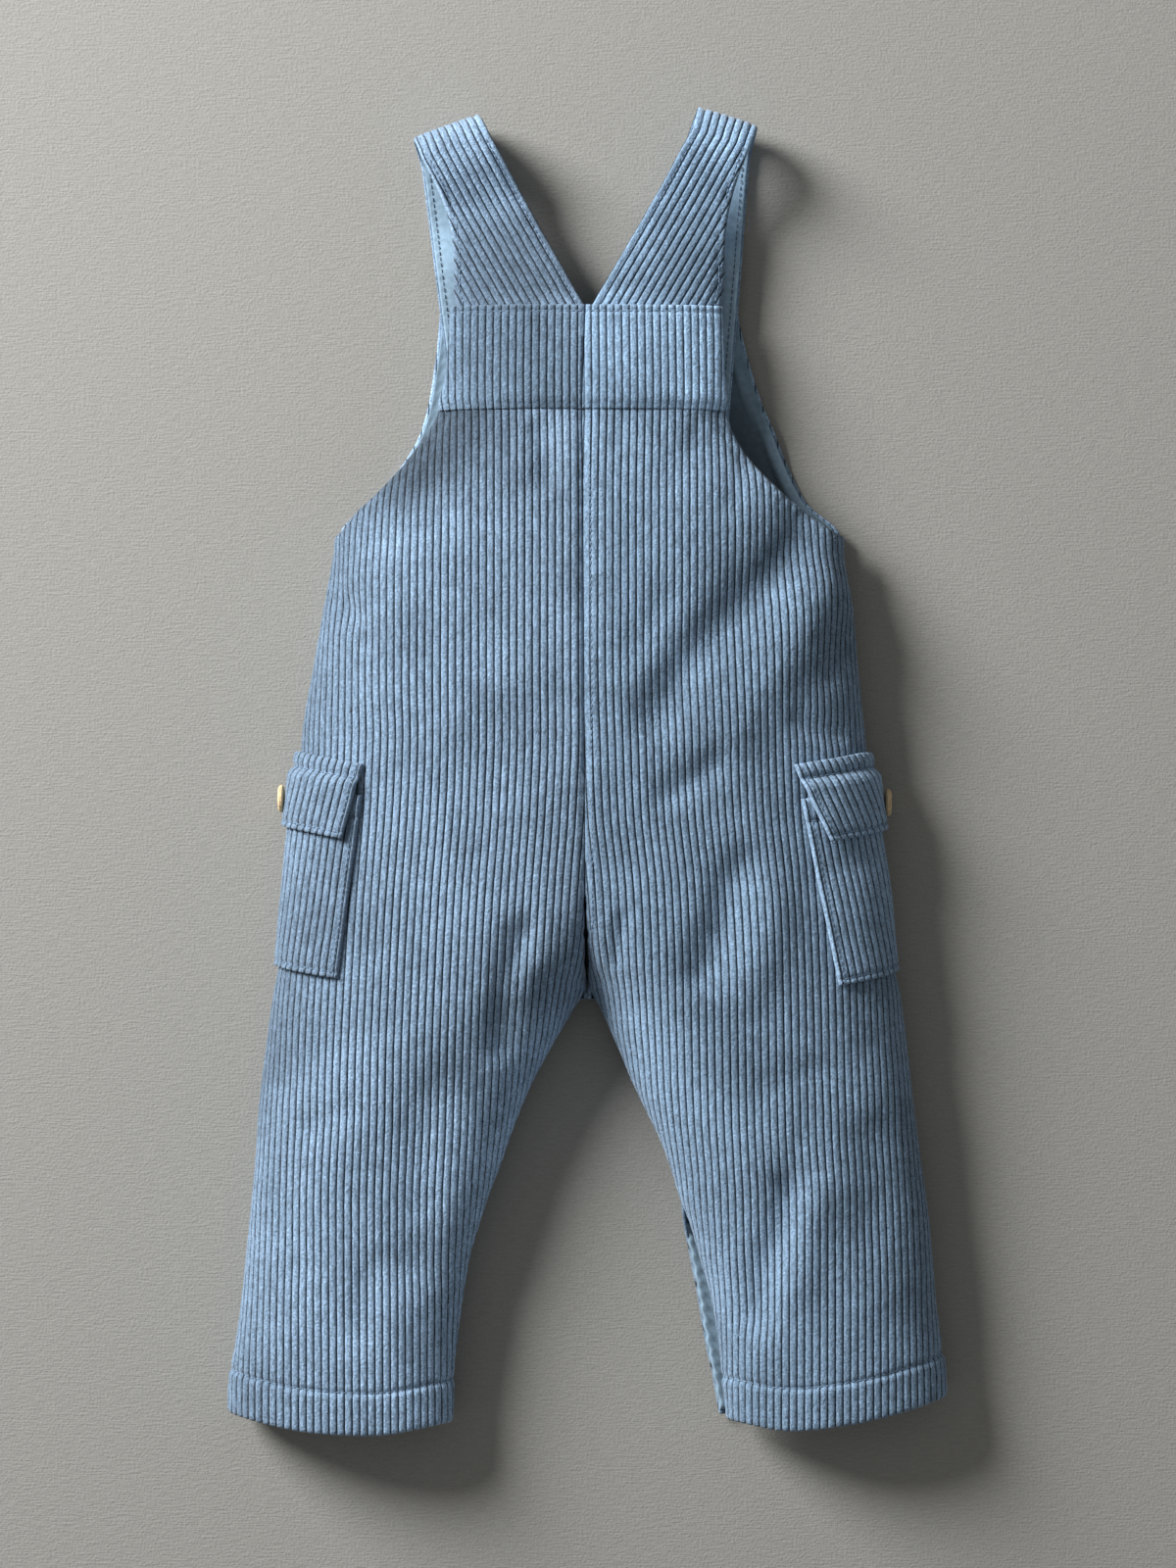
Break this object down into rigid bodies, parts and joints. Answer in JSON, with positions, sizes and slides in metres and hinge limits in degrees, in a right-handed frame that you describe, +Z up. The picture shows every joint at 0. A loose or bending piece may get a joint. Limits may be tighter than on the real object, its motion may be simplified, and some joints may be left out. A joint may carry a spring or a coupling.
{
  "type": "bib overalls",
  "caption": "Child's bib overalls in wide-ribbed corduroy, laid face down: slanting shoulder straps, back yoke, and flapped side pockets with wooden buttons.",
  "frame": {"origin": "centre of the bounding box, on the surface that the garment lies on", "axes": "+Y up the garment from hems to shoulders, +Z up from the surface to the back panels that face up, +X towards the wearer's right side"},
  "size_m": [0.3022, 0.5556, 0.0428],
  "materials": {
    "corduroy_left": "cotton corduroy, pile lying towards the light",
    "corduroy_right": "cotton corduroy, pile lying away from the light",
    "corduroy_light": "cotton corduroy, pile lying towards the light",
    "plain_weave": "plain-woven cotton",
    "beech": "pale turned beech, satin"
  },
  "bodies": {
    "root": {"back_left": "corduroy_left", "back_right": "corduroy_right", "front_left": "corduroy_left", "front_right": "corduroy_right", "yoke_left": "corduroy_right", "yoke_right": "corduroy_light", "strap_left": "corduroy_left", "strap_right": "corduroy_light", "strap_lining_left": "plain_weave", "strap_lining_right": "plain_weave", "pocket_left": "corduroy_left", "pocket_right": "corduroy_right", "flap_left": "corduroy_left", "flap_right": "corduroy_right", "pocket_button_left": "beech", "pocket_button_right": "beech", "bib_button_left": "beech", "bib_button_right": "beech", "bib_facing": "plain_weave", "placket_facing_right": "plain_weave"}
  },
  "joints": []
}
